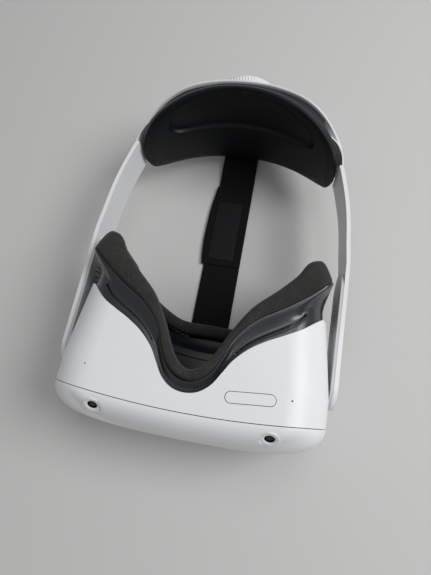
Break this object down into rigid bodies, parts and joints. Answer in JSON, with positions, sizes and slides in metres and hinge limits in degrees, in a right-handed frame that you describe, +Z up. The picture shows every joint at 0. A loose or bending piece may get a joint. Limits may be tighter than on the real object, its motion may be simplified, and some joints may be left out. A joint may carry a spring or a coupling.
{
  "type": "vr headset",
  "caption": "Stand-alone VR headset with foam face interface, rigid side arms, dial-adjusted rear cradle with head pad and a woven top strap, lying on its flat top face.",
  "frame": {"origin": "On the visor's flat top face, at the middle of its width and where the side ends of the parting line between the two shells lie. The headset lies upside down on that face, so z = 0 is the surface that it rests on.", "axes": "+Z is up as it lies, which is the wearer's down; -Y is the way the wearer looks; +X is the wearer's right. The long way, from the visor's front to the dial, is Y."},
  "size_m": [0.2028, 0.3006, 0.1116],
  "materials": {
    "white_shell": "satin",
    "light_grey_plastic": "satin",
    "black_plastic": "satin",
    "face_foam": "matte",
    "soft_pad": "matte",
    "woven_strap": "matte",
    "circuit_board": "satin",
    "steel": "satin",
    "alloy": "satin",
    "camera_black": "gloss",
    "lens_clear": "gloss",
    "screen": "gloss",
    "battery_wrap": "satin"
  },
  "bodies": {
    "visor": {"front_shell": "white_shell", "body_shell": "white_shell", "inner_bezel": "black_plastic", "chassis_plate": "alloy", "mainboard": "circuit_board", "heat_sink": "alloy", "fan_frame": "black_plastic", "display_panel": "screen", "battery_pack": "battery_wrap", "lens_rails": "steel", "tracking_camera_1": "camera_black", "tracking_camera_2": "camera_black", "tracking_camera_3": "camera_black", "tracking_camera_4": "camera_black", "microphones": "alloy", "proximity_sensor": "camera_black", "chassis_screws": "steel", "port_board": "circuit_board", "usb_port": "steel", "audio_jack": "black_plastic", "rocker_mount": "circuit_board", "power_switch": "black_plastic", "pivot_pins": "steel", "top_strap_front": "woven_strap", "front_strap_anchor": "black_plastic"},
    "fan": {"fan_rotor": "black_plastic"},
    "left_eye": {"lens_carriage_left": "black_plastic", "lens_left": "lens_clear"},
    "right_eye": {"lens_carriage_right": "black_plastic", "lens_right": "lens_clear"},
    "volume": {"volume_rocker": "white_shell"},
    "power": {"power_button": "white_shell"},
    "face_interface": {"face_frame": "black_plastic", "foam_rim": "face_foam"},
    "side_arms": {"arm_left": "white_shell", "arm_right": "white_shell", "speaker_arm_left": "light_grey_plastic", "speaker_arm_right": "light_grey_plastic", "speaker_left": "alloy", "speaker_right": "alloy"},
    "cradle": {"cradle_shell": "white_shell", "cradle_frame": "black_plastic", "head_pad": "soft_pad", "rear_strap_anchor": "black_plastic", "dial_bush": "black_plastic", "strip_left": "white_shell", "strip_right": "white_shell", "top_strap_rear": "woven_strap"},
    "dial": {"dial_knob": "white_shell", "dial_pinion": "black_plastic"},
    "left_rack": {"rack_left": "light_grey_plastic"},
    "right_rack": {"rack_right": "light_grey_plastic"}
  },
  "joints": [
    {"name": "strap_tilt", "type": "hinge", "parent": "visor", "child": "side_arms", "pos_m": [0, 0.031, 0.0568], "axis": [1, 0, 0], "range_deg": [-8, 12], "deforming": ["top_strap_front", "top_strap_rear"]},
    {"name": "strap_length", "type": "slide", "parent": "side_arms", "child": "cradle", "axis": [0, 1, 0], "range_m": [-0.014, 0], "deforming": ["strip_left", "strip_right", "top_strap_front", "top_strap_rear"]},
    {"name": "dial_turn", "type": "hinge", "parent": "cradle", "child": "dial", "pos_m": [0, 0.262, 0.062], "axis": [0, 1, 0], "range_deg": [-0.5, 134.2]},
    {"name": "left_rack_slide", "type": "slide", "parent": "cradle", "child": "left_rack", "axis": [1, 0, 0], "range_m": [-0.0001, 0.0141]},
    {"name": "right_rack_slide", "type": "slide", "parent": "cradle", "child": "right_rack", "axis": [1, 0, 0], "range_m": [-0.0141, 0.0001]},
    {"name": "lens_spacing_left", "type": "slide", "parent": "visor", "child": "left_eye", "axis": [1, 0, 0], "range_m": [-0.0025, 0.0025]},
    {"name": "lens_spacing_right", "type": "slide", "parent": "visor", "child": "right_eye", "axis": [1, 0, 0], "range_m": [-0.0025, 0.0025]},
    {"name": "fan_spin", "type": "hinge", "parent": "visor", "child": "fan", "pos_m": [0, -0.015, 0.051], "axis": [0, 1, 0], "continuous": true},
    {"name": "volume_rock", "type": "hinge", "parent": "visor", "child": "volume", "pos_m": [0.0427, 0.01, 0.0984], "axis": [-0.0958, 0.9954, 0], "range_deg": [-1.2, 1.2], "stiffness_Nm_per_rad": 0.6},
    {"name": "power_press", "type": "slide", "parent": "visor", "child": "power", "axis": [-1, 0, 0], "range_m": [0, 0.0005], "stiffness_N_per_m": 600},
    {"name": "interface_pull", "type": "slide", "parent": "visor", "child": "face_interface", "axis": [0, 1, 0], "range_m": [0, 0.012]}
  ],
  "couplings": [
    {"joint": "dial_turn", "follows": "strap_length", "rad_per_m": -166.67},
    {"joint": "left_rack_slide", "follows": "strap_length", "ratio": -1},
    {"joint": "right_rack_slide", "follows": "strap_length", "ratio": 1},
    {"joint": "lens_spacing_right", "follows": "lens_spacing_left", "ratio": -1}
  ]
}
